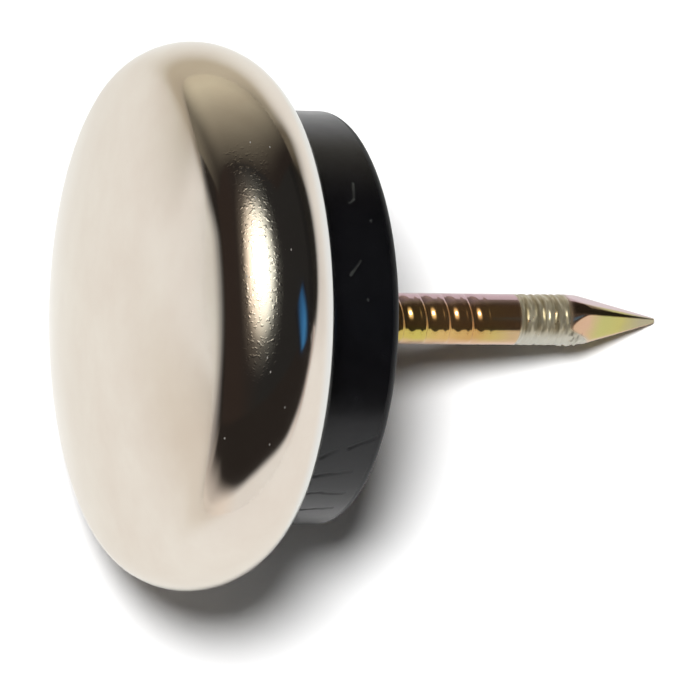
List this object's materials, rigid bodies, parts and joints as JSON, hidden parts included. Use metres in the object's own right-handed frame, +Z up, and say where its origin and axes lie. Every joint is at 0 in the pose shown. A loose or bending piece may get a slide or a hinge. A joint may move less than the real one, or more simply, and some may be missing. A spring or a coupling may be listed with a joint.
{
  "type": "nail-on furniture glide",
  "caption": "Domed nickel-plated steel glide cap on a black rubber cushion, with a pointed nail on its axis that is driven into the end of a furniture leg.",
  "frame": {"origin": "on the surface that the glide lies on, under the middle of its box", "axes": "+Z up, +X along the nail as seen from above, from the cap towards the point; the glide is symmetric about the XZ plane apart from its nail's facets and grip marks"},
  "size_m": [0.0322, 0.0286, 0.026],
  "materials": {
    "nickel_plate": "bright nickel plate on drawn steel, warm white, finely pitted",
    "black_rubber": "smooth moulded black rubber with a low sheen and small scuffs",
    "yellow_zinc_steel": "yellow zinc plate with a rainbow cast, scraped to grey metal before the point"
  },
  "bodies": {
    "root": {"cap": "nickel_plate", "cushion": "black_rubber", "nail": "yellow_zinc_steel"}
  },
  "joints": []
}
